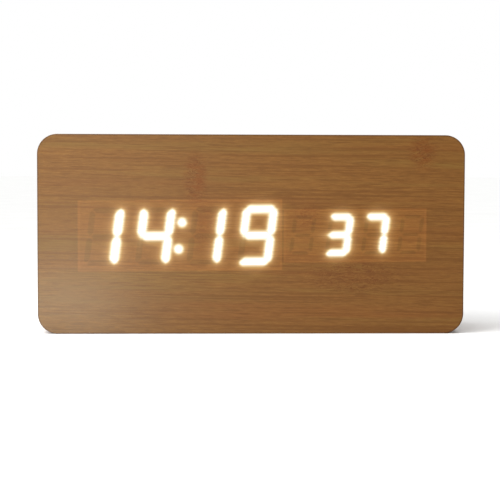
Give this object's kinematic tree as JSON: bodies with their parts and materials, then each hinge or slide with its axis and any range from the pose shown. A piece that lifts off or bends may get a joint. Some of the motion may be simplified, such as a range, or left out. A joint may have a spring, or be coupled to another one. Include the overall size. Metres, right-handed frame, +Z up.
{
  "type": "wooden digital clock",
  "caption": "Rectangular wooden block clock with rounded corners; lit time and temperature figures show through its plain veneer front, with controls and a battery door at the back.",
  "frame": {"origin": "middle of the underside, where the clock stands", "axes": "+X along the front to the right as the front is seen, +Y from the front to the back, +Z up"},
  "size_m": [0.15, 0.04, 0.07],
  "materials": {
    "bamboo_veneer": "satin bamboo veneer",
    "wood_block": "satin bamboo-patterned case",
    "cover_plastic": "fine-textured black moulding",
    "button_plastic": "smooth black moulding",
    "screw_steel": "nickel-plated",
    "contact_steel": "plated sheet and wire",
    "module_plastic": "matt light grey",
    "module_epoxy": "milky casting",
    "circuit_board": "green solder mask",
    "dark_resin": "moulded resin",
    "brass": "plain",
    "cell_sleeve": "printed sleeve, plain blue",
    "red_insulation": "wire insulation",
    "black_insulation": "wire insulation",
    "ribbon_insulation": "grey flat ribbon"
  },
  "bodies": {
    "clock_body": {"front_veneer": "bamboo_veneer", "wood_case": "wood_block", "rear_cover": "cover_plastic", "cover_screw_1": "screw_steel", "cover_screw_2": "screw_steel", "cover_screw_3": "screw_steel", "cover_screw_4": "screw_steel", "time_display_housing": "module_plastic", "time_display_epoxy": "module_epoxy", "time_display_base": "circuit_board", "small_display_housing": "module_plastic", "small_display_epoxy": "module_epoxy", "small_display_base": "circuit_board", "display_board": "circuit_board", "display_board_screw_1": "screw_steel", "display_board_screw_2": "screw_steel", "display_board_screw_3": "screw_steel", "display_board_screw_4": "screw_steel", "controller_chip": "dark_resin", "quartz_crystal": "contact_steel", "buzzer": "dark_resin", "coin_cell_holder": "cover_plastic", "coin_cell": "contact_steel", "display_board_socket": "module_plastic", "board_ribbon": "ribbon_insulation", "key_board_socket": "module_plastic", "key_board": "circuit_board", "key_board_screw_1": "screw_steel", "key_board_screw_2": "screw_steel", "key_board_screw_3": "screw_steel", "key_board_screw_4": "screw_steel", "power_inlet": "button_plastic", "power_inlet_pin": "brass", "microphone": "contact_steel", "temperature_sensor": "dark_resin", "set_switch": "dark_resin", "up_switch": "dark_resin", "down_switch": "dark_resin", "battery_cell_1": "cell_sleeve", "battery_cell_2": "cell_sleeve", "battery_cell_3": "cell_sleeve", "battery_cell_4": "cell_sleeve", "positive_contact": "contact_steel", "negative_contact": "contact_steel", "link_contact_1_2": "contact_steel", "link_contact_2_3": "contact_steel", "link_contact_3_4": "contact_steel", "positive_wire": "red_insulation", "negative_wire": "black_insulation"},
    "battery_door": {"battery_door": "cover_plastic"},
    "set_button": {"set_button": "button_plastic", "set_plunger": "brass"},
    "up_button": {"up_button": "button_plastic", "up_plunger": "brass"},
    "down_button": {"down_button": "button_plastic", "down_plunger": "brass"}
  },
  "joints": [
    {"name": "battery_door_hinge", "type": "hinge", "parent": "clock_body", "child": "battery_door", "pos_m": [-0.03005, 0.0192, 0.0129], "axis": [-1, 0, 0], "range_deg": [0, 80]},
    {"name": "set_press", "type": "slide", "parent": "clock_body", "child": "set_button", "axis": [0, -1, 0], "range_m": [0, 0.0006], "stiffness_N_per_m": 800, "springref_m": -0.0014},
    {"name": "up_press", "type": "slide", "parent": "clock_body", "child": "up_button", "axis": [0, -1, 0], "range_m": [0, 0.0006], "stiffness_N_per_m": 800, "springref_m": -0.0014},
    {"name": "down_press", "type": "slide", "parent": "clock_body", "child": "down_button", "axis": [0, -1, 0], "range_m": [0, 0.0006], "stiffness_N_per_m": 800, "springref_m": -0.0014}
  ]
}
